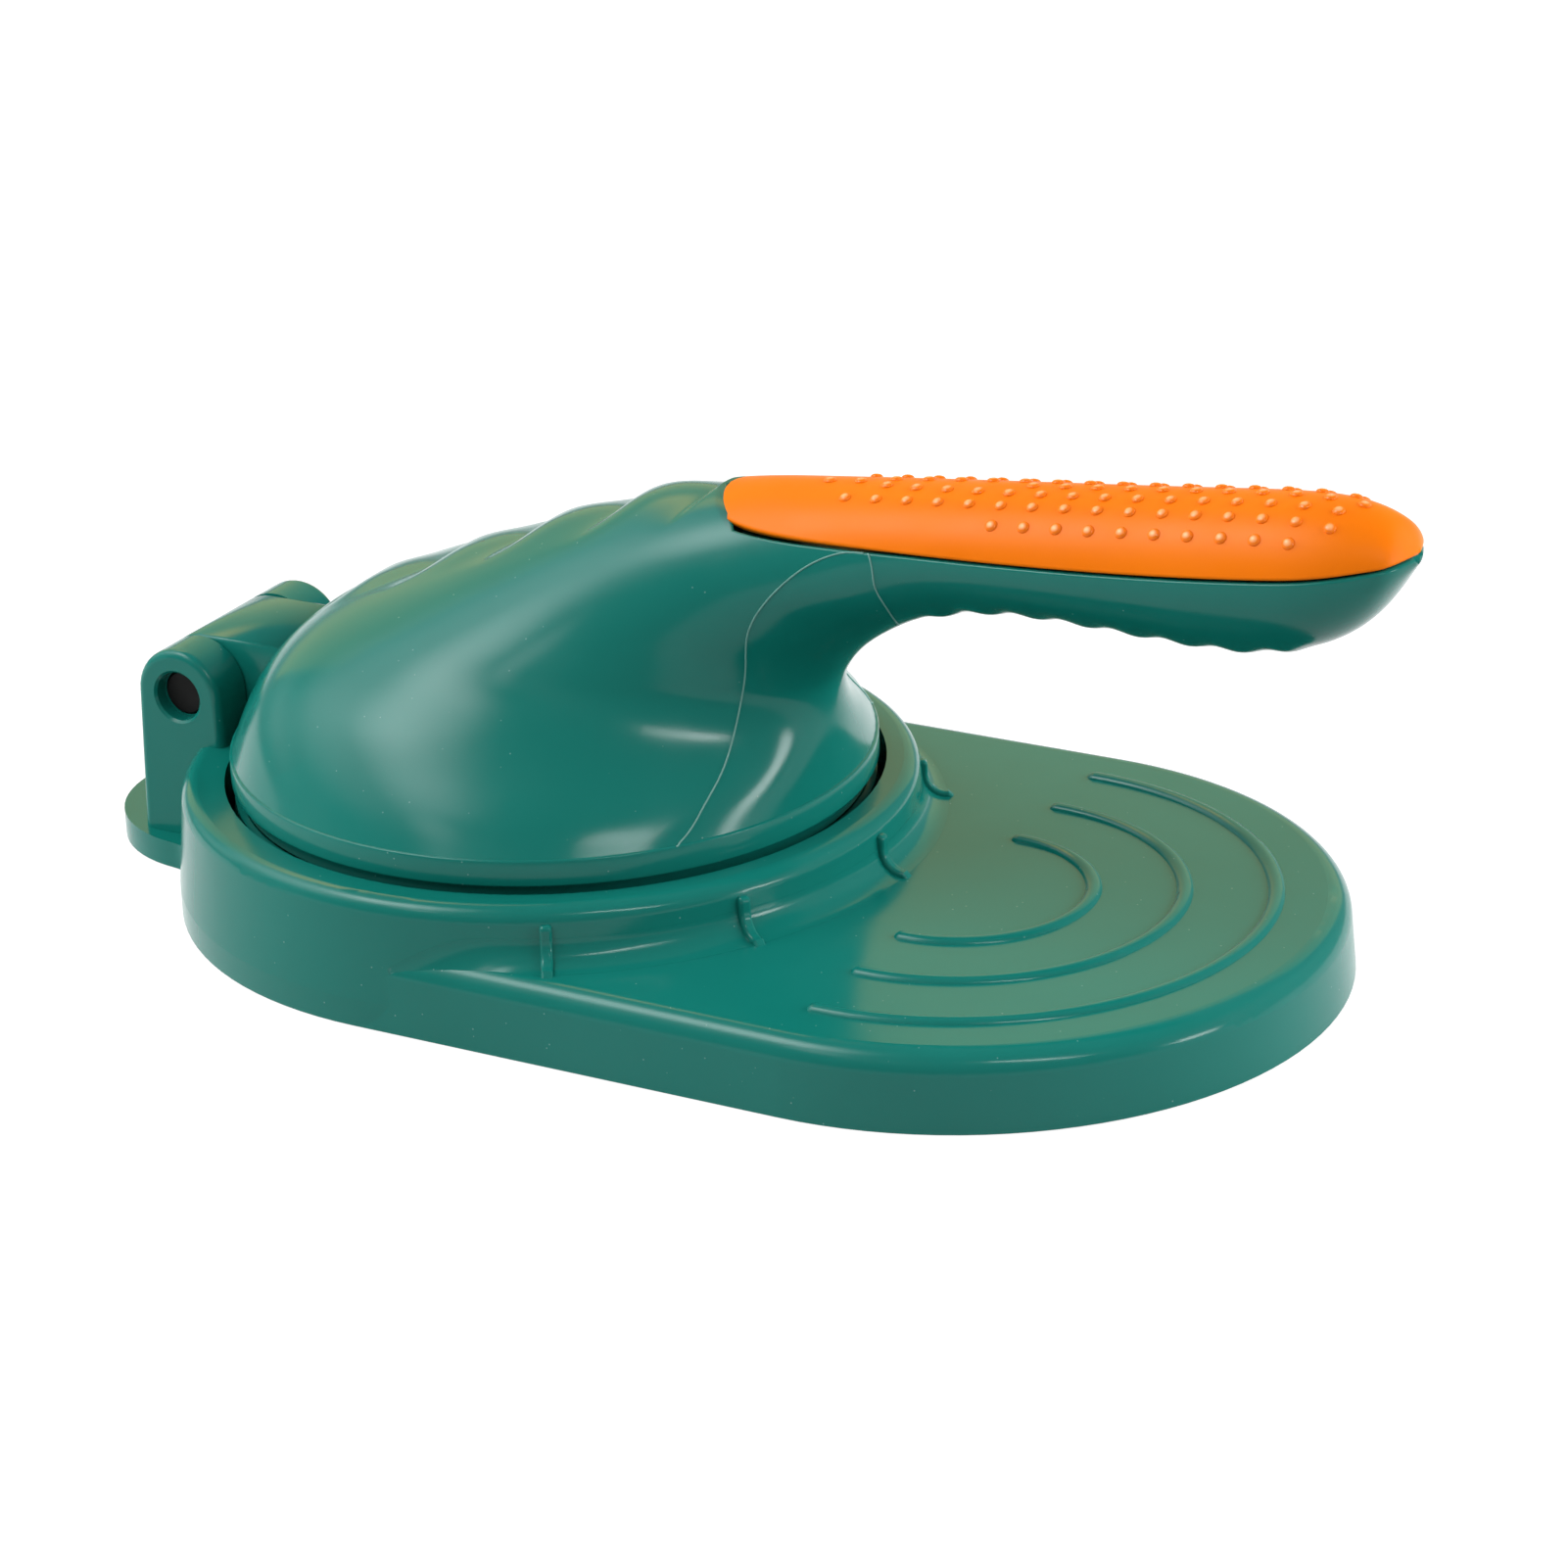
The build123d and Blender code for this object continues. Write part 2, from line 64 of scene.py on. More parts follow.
# Places taken from the frame, in millimetres. The handle's reach is the part's own size.
lid_low, lid_high = (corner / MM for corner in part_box("lid_shell"))
handle_reach = 142.0
ring_x = lid_high.x - handle_reach
hinge = next(joint for joint in frame["joints"] if joint["name"] == "lid_hinge")
hinge_x = hinge["pos_m"][0] / MM - ring_x
hinge_z = hinge["pos_m"][2] / MM
skirt_bottom = lid_low.z

# Lid, handle and knuckle, with the sizes of the part's source. The edges' small radii and the step
# in the skirt, which lies lip_step further in below lip_bottom, are the scene's own.
lid_r = 50.0
bed_x = 0.9
rim_z = 25.3
shoulder = 0.4
skirt_edge = 0.4
lip_bottom = 21.1
lip_step = 1.5
handle_half = 11.8
crown_tip_z = 76.4
throat_z = 58.3
knuckle_half = 9.9
knuckle_r = 7.6
knuckle_run = 9.0
knuckle_lift = 1.0
knuckle_edge = 0.7

# The seam between the grip and the handle: how far apart they stand, how their edges round over,
# and how deep the lid's and the grip's side run down into the groove
seam_gap = 0.4
lip_r = 0.45
lip_steps = 4
edge_back = seam_gap / 2 + lip_r
groove_deep = 1.6
grip_deep = 1.3
seam_steps = 600
seam_points = (
    (109.6, 3.2), (109.1, 5.3), (107.4, 7.2), (104.2, 8.3), (98.6, 8.9), (86.0, 9.0), (62.0, 8.1),
    (34.0, 6.0), (20.0, 4.5), (9.0, 3.0), (-0.5, 1.2))

# Scales along the spine and ridges under the fingers. Rise and fall are the stretches along the
# press where they begin and end, and fade is the stretch to the side where they run out.
scale_first = -34.1
scale_pitch = 16.55
scale_high = 1.9
scale_sink = 0.5
scale_skew = 0.7
scale_sweep = 0.03
scale_soft = 0.22
scale_rise = (-36.1, -32.1)
scale_fall = (30.9, 32.9)
scale_fade = (2.0, 12.0)
ridge_first = 66.5
ridge_pitch = 7.85
ridge_high = 0.5
ridge_rise = (65.5, 71.5)
ridge_fall = (123.0, 129.0)
ridge_fade = (4.5, 9.5)

# Raised dots on the grip, in rows along it. A row is given by its first and last place along the
# grip, counted in pitches, and by how far it lies from the middle plane at some places.
dot_r = 0.95
dot_high = 0.5
dot_pitch = 5.06
dot_first = 50.4
dot_rows = (
    (6.5, 16.5, ((50.0, 0.0), (135.0, 0.0))),
    (0, 16, ((50.0, 0.0), (64.0, 1.9), (80.0, 2.7), (95.0, 3.1), (131.0, 3.2))),
    (1, 16, ((55.0, 5.0), (80.0, 5.6), (131.0, 6.3))),
    (6, 15, ((80.0, 8.6), (126.0, 8.9))))

# Raised mould lines on the left of the neck, laid over the lid's surface; the right is the same
mould_line_r = 0.14
mould_lines = (
    ((61.5, 11.4, 67.9), (55.4, 12.1, 65.8), (49.7, 13.4, 61.6), (45.9, 14.6, 57.0),
     (44.0, 14.8, 53.1), (43.1, 14.0, 48.4), (42.3, 13.9, 43.1), (42.0, 16.2, 37.9),
     (42.1, 20.4, 33.3), (41.7, 25.2, 29.7), (40.7, 29.7, 26.1), (40.1, 31.0, 25.3)),
    ((62.2, 11.5, 67.8), (63.1, 11.8, 65.4), (63.4, 11.7, 62.6), (64.2, 10.4, 59.3), (63.0, 3.5, 53.5)))

# The hollow curve between the round wall and the apron, whose sizes are those of the part's source.
# Its radius grows between two angles from the front, so that it runs out softly at the sides.
wall_foot_r = 58.3
wall_top_r = 56.9
wall_low = 4.5
wall_top = 20.5
apron_run = 70.9
apron_top = 12.0
apron_edge = 3.6
apron_draft = 4.5
apron_low = 0.2
hollow_r = 4.0
hollow_lift = 0.02
hollow_growth = 1.2
hollow_grows = (62, 78)

# The grids of the lid and the grip: rows along, and columns from the crown round one side. The
# lid's columns crowd towards the crown, and the rows of both crowd where the seam turns down.
lid_rows = 330
lid_rows_before_seam = 165
lid_columns = 74
column_crowd = 0.2
grip_rows = 204
grip_columns = 37
bend_length = 7.0
bend_rows = 26
bend_crowd = 1.6

# How near two points count as one, in metres, and how often a stretch is halved to find a place
weld = 2e-6
halvings = 40


def to_scene(points):
    """Points in millimetres from the round wall's middle, as points in metres in the frame."""
    return (np.asarray(points, float) + np.array((ring_x, 0, 0))) * MM


def placed(name, data):
    """A new object in the scene, for a mesh, a lamp or a camera."""
    thing = bpy.data.objects.new(name, data)
    bpy.context.scene.collection.objects.link(thing)
    return thing


def mesh_object(name, points, faces):
    """A smooth mesh object at the origin from points in millimetres and faces."""
    mesh = bpy.data.meshes.new(name)
    mesh.from_pydata([tuple(p) for p in to_scene(points)], [], faces)
    mesh.validate()
    mesh.polygons.foreach_set("use_smooth", [True] * len(mesh.polygons))
    return placed(name, mesh)


# Sections of the lid: crown point, throat point, half width and lean, from the rim to the tip
def dome_section(crown_in, crown_up, throat_in, throat_up, side_in, lean):
    return (bed_x - lid_r + crown_in, rim_z + crown_up, bed_x + lid_r - throat_in,
            rim_z + throat_up, lid_r - side_in, lean)


def handle_section(crown_back, crown_down, throat_back, throat_up, side_in):
    return (handle_reach - crown_back, crown_tip_z - crown_down, handle_reach - throat_back,
            throat_z + throat_up, handle_half - side_in, 0)


sections = np.array([
    dome_section(shoulder, 0, shoulder, 0, shoulder, 0),
    dome_section(2.6, 4.5, 0.4, 3.9, 3.3, 0.08),
    dome_section(5.9, 10.2, 0.4, 8.2, 8.3, 0.20),
    dome_section(10.6, 15.5, 0.5, 12.0, 13.8, 0.28),
    dome_section(17.1, 19.9, 0.3, 15.2, 19.0, 0.30),
    dome_section(29.1, 25.3, -0.7, 18.0, 24.0, 0.28),
    dome_section(42.1, 30.8, -2.6, 20.7, 28.2, 0.24),
    dome_section(56.1, 36.6, -5.7, 23.7, 31.8, 0.18),
    dome_section(69.1, 41.6, -10.1, 26.7, 34.6, 0.12),
    handle_section(108.5, 5.8, 75.2, -3.4, -1.4),
    handle_section(93.6, 3.6, 67.0, -1.1, 0),
    handle_section(74.0, 1.3, 56.0, 0, 0.3),
    handle_section(36.0, -2.9, 32.0, -0.5, 0),
    handle_section(21.0, -4.6, 20.5, 0.2, 0.1),
    handle_section(10.5, -5.0, 11.0, 3.2, 1.3),
    handle_section(4.0, -3.5, 4.6, 8.6, 3.9),
    handle_section(1.1, -1.0, 1.2, 13.6, 7.0),
    handle_section(0, 0.6, 0, 15.4, 10.3),
])


def smooth_line(knots, values):
    """A function that runs smoothly through values at knots: a natural cubic spline."""
    knots, values = np.asarray(knots, float), np.asarray(values, float)
    step = np.diff(knots)
    slope = np.diff(values, axis=0) / step[:, None]
    size = len(knots)
    matrix = np.eye(size)
    right = np.zeros_like(values)
    for i in range(1, size - 1):
        matrix[i, i - 1:i + 2] = step[i - 1], 2 * (step[i - 1] + step[i]), step[i]
        right[i] = 6 * (slope[i] - slope[i - 1])
    bend = np.linalg.solve(matrix, right)

    def at(where):
        where = np.clip(np.asarray(where, float), knots[0], knots[-1])
        i = np.clip(np.searchsorted(knots, where, side="right") - 1, 0, size - 2)
        h = step[i][..., None]
        a = (knots[i + 1] - where)[..., None] / h
        b = 1 - a
        return (a * values[i] + b * values[i + 1]
                + ((a ** 3 - a) * bend[i] + (b ** 3 - b) * bend[i + 1]) * h ** 2 / 6)
    return at


def chords(points):
    """Distance along points, from the first."""
    steps = np.linalg.norm(np.diff(points, axis=0), axis=1)
    return np.concatenate(([0], np.cumsum(steps)))


section_along = (chords(sections[:, 0:2]) + chords(sections[:, 2:4])) / 2
section_at = smooth_line(section_along, sections)
form_end = section_along[-1]


def form_point(along, turn):
    """Point of the lid's outer form: along from rim to tip, turn from 0 on the crown to pi."""
    top_x, top_z, low_x, low_z, half, lean = np.moveaxis(section_at(along), -1, 0)
    share = (1 - np.cos(turn)) / 2
    across = half * np.sin(turn) * (1 + lean * np.cos(turn))
    return np.stack([top_x + (low_x - top_x) * share, across,
                     top_z + (low_z - top_z) * share], axis=-1)


def form_normal(along, turn):
    """Outward unit normal of the lid's form."""
    small, little = 0.05, 0.001
    low, high = np.clip(along - small, 0, form_end), np.clip(along + small, 0, form_end)
    run = form_point(high, turn) - form_point(low, turn)
    # Beside the crown and the throat, the slope across is taken a little way off the middle plane
    inner = np.clip(turn, little * 5, math.pi - little * 5)
    over = form_point(along, inner + little) - form_point(along, inner - little)
    normal = np.cross(over, run)
    normal /= np.maximum(np.linalg.norm(normal, axis=-1, keepdims=True), 1e-12)
    middle = section_at(along)
    centre = np.stack([(middle[..., 0] + middle[..., 2]) / 2, np.zeros_like(middle[..., 0]),
                       (middle[..., 1] + middle[..., 3]) / 2], axis=-1)
    flip = np.sum(normal * (form_point(along, turn) - centre), axis=-1, keepdims=True) < 0
    return np.where(flip, -normal, normal)


def smooth_step(low, high, value):
    """0 below low, 1 above high, with an even turn between."""
    share = np.clip((value - low) / (high - low), 0, 1)
    return share * share * (3 - 2 * share)


def relief(points, turn):
    """How far the scales and the finger ridges stand proud of the plain form."""
    x, y = points[..., 0], points[..., 1]
    swept = x + scale_sweep * y ** 2
    share = (swept - scale_first) / scale_pitch
    bulge = np.sin(np.pi * (share - np.floor(share)) ** scale_skew)
    bulge = np.hypot(bulge, scale_soft) - scale_soft
    ends = smooth_step(*scale_rise, swept) * (1 - smooth_step(*scale_fall, swept))
    sides = 1 - smooth_step(*scale_fade, np.abs(y))
    scales = scale_high * (bulge - scale_sink) * ends * sides
    scales *= turn < math.pi / 2
    phase = 2 * np.pi * (x - ridge_first) / ridge_pitch
    wave = (1 - np.cos(phase)) / 2
    ends = smooth_step(*ridge_rise, x) * (1 - smooth_step(*ridge_fall, x))
    sides = 1 - smooth_step(*ridge_fade, np.abs(y))
    ridges = ridge_high * wave * ends * sides
    ridges *= turn > math.pi / 2
    return scales + ridges


def outer(along, turn):
    """The finished outer surface, with its relief."""
    points = form_point(along, turn)
    return points + form_normal(along, turn) * relief(points, turn)[..., None]


def outer_normal(along, turn):
    """Outward unit normal of the finished surface."""
    small, little = 0.02, 0.004
    low, high = np.clip(along - small, 0, form_end), np.clip(along + small, 0, form_end)
    inner = np.clip(turn, little * 2, math.pi - little * 2)
    run = outer(high, inner) - outer(low, inner)
    over = outer(along, inner + little) - outer(along, inner - little)
    normal = np.cross(over, run)
    normal[np.broadcast_to(inner != turn, normal.shape[:-1]), 1] = 0
    normal /= np.maximum(np.linalg.norm(normal, axis=-1, keepdims=True), 1e-12)
    flip = np.sum(normal * form_normal(along, turn), axis=-1, keepdims=True) < 0
    return np.where(flip, -normal, normal)


# The seam in the side view, as a line of short steps
seam_xz = np.array([(handle_reach - back, crown_tip_z - down) for back, down in seam_points])
seam_along = chords(seam_xz)
seam_line = smooth_line(seam_along, seam_xz)(np.linspace(0, seam_along[-1], seam_steps))


def above_seam(points):
    """Signed distance in the side view from points to the seam; positive on the grip's side."""
    flat = np.stack([points[..., 0], points[..., 2]], axis=-1)
    away = flat[..., None, :] - seam_line[:-1]
    run = np.diff(seam_line, axis=0)
    share = np.clip(np.sum(away * run, -1) / np.sum(run * run, -1), 0, 1)
    off = away - share[..., None] * run
    distance = np.linalg.norm(off, axis=-1)
    nearest = np.argmin(distance, axis=-1)
    pick = np.take_along_axis(off, nearest[..., None, None], axis=-2)[..., 0, :]
    along = run[nearest]
    side = np.sign(along[..., 0] * pick[..., 1] - along[..., 1] * pick[..., 0])
    return side * np.take_along_axis(distance, nearest[..., None], axis=-1)[..., 0]


def halved(low, high, above):
    """Where above turns from True at low to False at high, for each entry."""
    low, high = np.array(low, float), np.array(high, float)
    for _ in range(halvings):
        middle = (low + high) / 2
        yes = above(middle)
        low, high = np.where(yes, middle, low), np.where(yes, high, middle)
    return (low + high) / 2


def seam_turn(along, offset):
    """Turn at which the form crosses the seam shifted by offset, for each along."""
    zero = np.zeros_like(along)
    return halved(zero, zero + math.pi, lambda turn: above_seam(form_point(along, turn)) > offset)


def seam_start(offset):
    """Where along the crown the shifted seam begins."""
    # It lies between the dome's last section and the handle's second
    low, high = section_along[8], section_along[10]
    first = halved([-high], [-low], lambda a: above_seam(form_point(-a, 0 * a)) > offset)
    return -first[0]


def rows_from(start, count):
    """Places from start to the tip, closer together just after start, where the seam turns."""
    first = start + bend_length * (np.arange(bend_rows) / bend_rows) ** bend_crowd
    return np.concatenate((first, np.linspace(start + bend_length, form_end, count - bend_rows)))


def seam_lip(points, normals, way, deep):
    """Rows of points that round over a surface's edge at the seam and run down into the groove.
    points and normals belong to the edge; way is 1 where the seam lies on the crown's side and -1
    where it lies on the throat's, and deep is how far down the rows run."""
    tangent = np.gradient(points, axis=0)
    tangent[0] = (0, 1, 0)
    out = np.cross(normals, tangent)
    out /= np.linalg.norm(out, axis=1, keepdims=True)
    out *= np.sign(np.sum(out * (0, 0, 1), axis=1, keepdims=True)) * way
    out[0] *= np.sign(out[0, 0]) * way
    rows = []
    for step in range(1, lip_steps + 1):
        turn = math.pi / 2 * step / lip_steps
        rows.append(points + lip_r * (math.sin(turn) * out - (1 - math.cos(turn)) * normals))
    rows.append(points + lip_r * out - deep * normals)
    flat = rows[-1].copy()
    flat[:, 1] = 0
    rows.append(flat)
    return rows


def grid_faces(index):
    """Quads of a grid of vertex numbers, without the sides that have shrunk to a point."""
    faces = []
    for i in range(index.shape[0] - 1):
        for j in range(index.shape[1] - 1):
            corners = [index[i, j], index[i + 1, j], index[i + 1, j + 1], index[i, j + 1]]
            corners = [c for k, c in enumerate(corners) if c != corners[k - 1]]
            if len(set(corners)) > 2:
                faces.append(corners)
    return faces


class HalfShell:
    """Points and faces of a piece's left half, which is then mirrored in the middle plane."""

    def __init__(self):
        self.points, self.faces, self.facing = [], [], []

    def add(self, points, facing=None):
        """Takes in points, with their normals if these are known, and gives their numbers."""
        first = len(self.points)
        points = np.asarray(points, float)
        self.points.extend(points.reshape(-1, 3).tolist())
        if facing is None:
            facing = np.zeros_like(points)
        self.facing.extend(facing.reshape(-1, 3).tolist())
        return first + np.arange(points[..., 0].size).reshape(points.shape[:-1])

    def piece(self, name):
        """The whole piece: the half and its mirror image, joined in the middle plane."""
        half = mesh_object(name, self.points, self.faces)
        mesh = half.data
        shell = bmesh.new()
        shell.from_mesh(mesh)
        for vert in shell.verts:
            if abs(vert.co.y) < weld:
                vert.co.y = 0
        other = bmesh.ops.duplicate(shell, geom=list(shell.verts) + list(shell.edges) + list(shell.faces))
        moved = [item for item in other["geom"] if isinstance(item, bmesh.types.BMVert)]
        for vert in moved:
            vert.co.y = -vert.co.y
        bmesh.ops.remove_doubles(shell, verts=shell.verts, dist=weld)
        bmesh.ops.recalc_face_normals(shell, faces=shell.faces)
        shell.to_mesh(mesh)
        shell.free()
        return half

    def shade(self, piece):
        """Gives the piece the form's own normals; a point without one keeps the mesh's."""
        known = [(place, way) for place, way in zip(to_scene(self.points), self.facing) if any(way)]
        lookup = KDTree(2 * len(known))
        ways = []
        for place, way in known:
            for side in (1, -1):
                lookup.insert((place[0], side * place[1], place[2]), len(ways))
                ways.append((way[0], side * way[1], way[2]))
        lookup.balance()
        normals = []
        for vert in piece.data.vertices:
            number, distance = lookup.find(vert.co)[1:]
            normals.append(ways[number] if distance < 2 * weld else (0, 0, 0))
        piece.data.normals_split_custom_set_from_vertices(normals)


def lid_body():
    """The lid: dome, neck, handle's lower half and skirt, closed along the seam and below."""
    start = seam_start(-edge_back)
    full = np.linspace(0, start, lid_rows_before_seam)[:-1]
    cut = rows_from(start, lid_rows - len(full))
    share = np.linspace(0, 1, lid_columns)
    share = share - column_crowd * np.sin(math.pi * share)
    shell = HalfShell()
    turn_full = np.broadcast_to(math.pi * share, (len(full), lid_columns))
    edge_turn = seam_turn(cut, -edge_back)
    edge_turn[0] = 0
    turn_cut = edge_turn[:, None] + (math.pi - edge_turn[:, None]) * share
    along = np.concatenate((full, cut))[:, None] + 0 * share
    turn = np.concatenate((turn_full, turn_cut))
    points = outer(along, turn)
    points[:, -1, 1] = 0
    points[:len(full) + 1, 0, 1] = 0
    grid = shell.add(points, outer_normal(along, turn))
    shell.faces += grid_faces(grid)

    first = len(full)
    lip = seam_lip(points[first:, 0], form_normal(along[first:, 0], turn[first:, 0]), 1, groove_deep)
    lip_grid = np.concatenate([grid[first:, :1]] + [shell.add(row)[:, None] for row in lip], axis=1)
    shell.faces += grid_faces(lip_grid)
    shell.faces.append(list(grid[-1]) + list(lip_grid[-1, :0:-1]))

    # Shoulder, with its edge taken off in two steps, skirt and the flat under it
    taken, midway, edge_points = 0.3, 0.1, 5
    around = math.pi - turn[0]
    profile = [(lid_r - taken, rim_z), (lid_r - midway, rim_z - midway), (lid_r, rim_z - taken)]
    for radius, low in ((lid_r, lip_bottom), (lid_r - lip_step, skirt_bottom)):
        profile += [(radius - skirt_edge * (1 - math.cos(a)), low + skirt_edge * (1 - math.sin(a)))
                    for a in np.linspace(0, math.pi / 2, edge_points)]
        profile.append((lid_r - lip_step, low))
    rings = [grid[0]]
    for radius, z in profile:
        ring = np.stack([bed_x + radius * np.cos(around), radius * np.sin(around),
                         np.full_like(around, z)], axis=-1)
        ring[(0, -1), 1] = 0
        rings.append(shell.add(ring))
    ring = ring.copy()
    ring[:, 1] = 0
    rings.append(shell.add(ring))
    shell.faces += grid_faces(np.array(rings))
    return shell, shell.piece("lid_cover")


def grip_cover():
    """The grip's soft-touch cover, above the seam."""
    start = seam_start(edge_back)
    cut = rows_from(start, grip_rows)
    share = np.linspace(0, 1, grip_columns)
    edge_turn = seam_turn(cut, edge_back)
    edge_turn[0] = 0
    turn = edge_turn[:, None] * share
    along = cut[:, None] + 0 * share
    points = outer(along, turn)
    points[:, 0, 1] = 0
    shell = HalfShell()
    facing = outer_normal(along, turn)
    grid = shell.add(points[1:], facing[1:])
    pole = shell.add(points[0, :1], facing[0, :1])
    grid = np.concatenate((np.repeat(pole, len(share))[None], grid))
    shell.faces += grid_faces(grid)
    lip = seam_lip(points[:, -1], form_normal(along[:, -1], turn[:, -1]), -1, grip_deep)
    lip_grid = np.concatenate([grid[:, -1:]] + [shell.add(row)[:, None] for row in lip], axis=1)
    shell.faces += grid_faces(lip_grid)
    shell.faces.append(list(grid[-1]) + list(lip_grid[-1, 1:]))
    grip = shell.piece("grip_cover")
    shell.shade(grip)
    return grip


def knuckle():
    """The hinge knuckle: round about the pin, with a flat top that runs into the dome."""
    flat_end = bed_x - lid_r + knuckle_run
    arc_points = 33
    outline = [(flat_end, hinge_z + knuckle_r)]
    outline += [(hinge_x + knuckle_r * math.cos(a), hinge_z + knuckle_r * math.sin(a))
                for a in np.linspace(math.pi / 2, 3 * math.pi / 2, arc_points)]
    outline += [(flat_end, hinge_z - knuckle_r + knuckle_lift)]
    outline = np.array(outline)
    middle = np.array((hinge_x, hinge_z))
    bevel = knuckle_edge * 0.3
    points, faces, rings = [], [], []
    for y, inset in ((-knuckle_half, knuckle_edge), (-knuckle_half + bevel, bevel),
                     (-knuckle_half + knuckle_edge, 0), (knuckle_half - knuckle_edge, 0),
                     (knuckle_half - bevel, bevel), (knuckle_half, knuckle_edge)):
        away = outline - middle
        size = np.linalg.norm(away, axis=1, keepdims=True)
        drawn = middle + away * (size - inset) / size
        rings.append(range(len(points), len(points) + len(drawn)))
        points += [(x, y, z) for x, z in drawn]
    for low, high in zip(rings, rings[1:]):
        for k in range(len(low)):
            n = (k + 1) % len(low)
            faces.append((low[k], low[n], high[n], high[k]))
    faces += [list(rings[0])[::-1], list(rings[-1])]
    return mesh_object("knuckle", points, faces)


def joined(name, *pieces):
    """One piece made of several meshes."""
    whole = bmesh.new()
    for piece in pieces:
        whole.from_mesh(piece.data)
        mesh = piece.data
        bpy.data.objects.remove(piece)
        bpy.data.meshes.remove(mesh)
    mesh = bpy.data.meshes.new(name)
    whole.to_mesh(mesh)
    whole.free()
    return placed(name, mesh)


class NodeTree:
    """A Geometry Nodes tree with named inputs, which turns a piece's mesh into another."""

    def __init__(self, name, **sizes):
        self.tree = bpy.data.node_groups.new(name, "GeometryNodeTree")
        self.tree.interface.new_socket("Geometry", in_out="INPUT", socket_type="NodeSocketGeometry")
        self.keys = {}
        for label, value in sizes.items():
            socket = self.tree.interface.new_socket(label, in_out="INPUT", socket_type="NodeSocketFloat")
            socket.default_value = value
            self.keys[label] = socket.identifier
        socket = self.tree.interface.new_socket("Finish", in_out="INPUT", socket_type="NodeSocketMaterial")
        self.keys["Finish"] = socket.identifier
        self.tree.interface.new_socket("Geometry", in_out="OUTPUT", socket_type="NodeSocketGeometry")
        self.given = self.tree.nodes.new("NodeGroupInput")

    def node(self, kind, **links):
        made = self.tree.nodes.new(kind)
        for label, source in links.items():
            self.tree.links.new(source, made.inputs[label.replace("_", " ")])
        return made

    def finish(self, shape):
        """Ends the tree: instances made real, smooth faces, and the finish put on."""
        real = self.node("GeometryNodeRealizeInstances", Geometry=shape)
        smooth = self.node("GeometryNodeSetShadeSmooth", Geometry=real.outputs[0])
        dressed = self.node("GeometryNodeSetMaterial", Geometry=smooth.outputs[0],
                            Material=self.given.outputs["Finish"])
        self.node("NodeGroupOutput", Geometry=dressed.outputs[0])

    def piece(self, name, start, finish, **sizes):
        """The tree's result on the mesh of start, as a plain mesh piece."""
        modifier = start.modifiers.new("shape", "NODES")
        modifier.node_group = self.tree
        for label, value in sizes.items():
            modifier[self.keys[label]] = value
        modifier[self.keys["Finish"]] = finish
        ready = start.evaluated_get(bpy.context.evaluated_depsgraph_get())
        mesh = bpy.data.meshes.new_from_object(ready)
        mesh.name = name
        start.modifiers.remove(modifier)
        old = start.data
        start.data = mesh
        bpy.data.meshes.remove(old)
        start.name = name
        return start


def surface_tree(piece):
    """The piece's surface, for finding the nearest or the next point on it."""
    shell = bmesh.new()
    shell.from_mesh(piece.data)
    tree = BVHTree.FromBMesh(shell)
    shell.free()
    return tree


def raised_dots(grip, finish):
    """The small domes on the grip, each square to its surface."""
    surface = surface_tree(grip)
    places, facing = [], []
    for first, last, line in dot_rows:
        for step in np.arange(first, last + 1):
            along = dot_first + dot_pitch * step
            across = np.interp(along, *zip(*line))
            for side in ((0,) if across < dot_r else (across, -across)):
                above = Vector(to_scene((along, side, crown_tip_z + handle_half)))
                spot, normal = surface.ray_cast(above, Vector((0, 0, -1)))[:2]
                places.append(spot)
                facing.append(normal)
    mesh = bpy.data.meshes.new("grip_dots")
    mesh.from_pydata(places, [], [])
    square = mesh.attributes.new("facing", "FLOAT_VECTOR", "POINT")
    square.data.foreach_set("vector", np.ravel(facing))
    start = placed("grip_dots", mesh)

    dots = NodeTree("grip_dots", Radius=0.001, Height=0.001)
    dome = dots.node("GeometryNodeMeshUVSphere")
    dome.inputs["Segments"].default_value = 14
    dome.inputs["Rings"].default_value = 10
    dome.inputs["Radius"].default_value = 1.0
    part = dots.node("ShaderNodeSeparateXYZ", Vector=dots.node("GeometryNodeInputPosition").outputs[0])
    # Each dot keeps its height as tip, which the dots' finish uses to paint a highlight on their tops
    tipped = dots.node("GeometryNodeStoreNamedAttribute", Geometry=dome.outputs[0], Value=part.outputs["Z"])
    tipped.inputs["Name"].default_value = "tip"
    way = dots.node("GeometryNodeInputNamedAttribute")
    way.data_type = "FLOAT_VECTOR"
    way.inputs["Name"].default_value = "facing"
    turn = dots.node("FunctionNodeAlignRotationToVector", Vector=way.outputs[0])
    turn.axis = "Z"
    size = dots.node("ShaderNodeCombineXYZ", X=dots.given.outputs["Radius"], Y=dots.given.outputs["Radius"],
                     Z=dots.given.outputs["Height"])
    spread_out = dots.node("GeometryNodeInstanceOnPoints", Points=dots.given.outputs["Geometry"],
                           Instance=tipped.outputs[0], Rotation=turn.outputs[0], Scale=size.outputs[0])
    dots.finish(spread_out.outputs[0])
    return dots.piece("grip_dots", start, finish, Radius=dot_r * MM, Height=dot_high * MM)


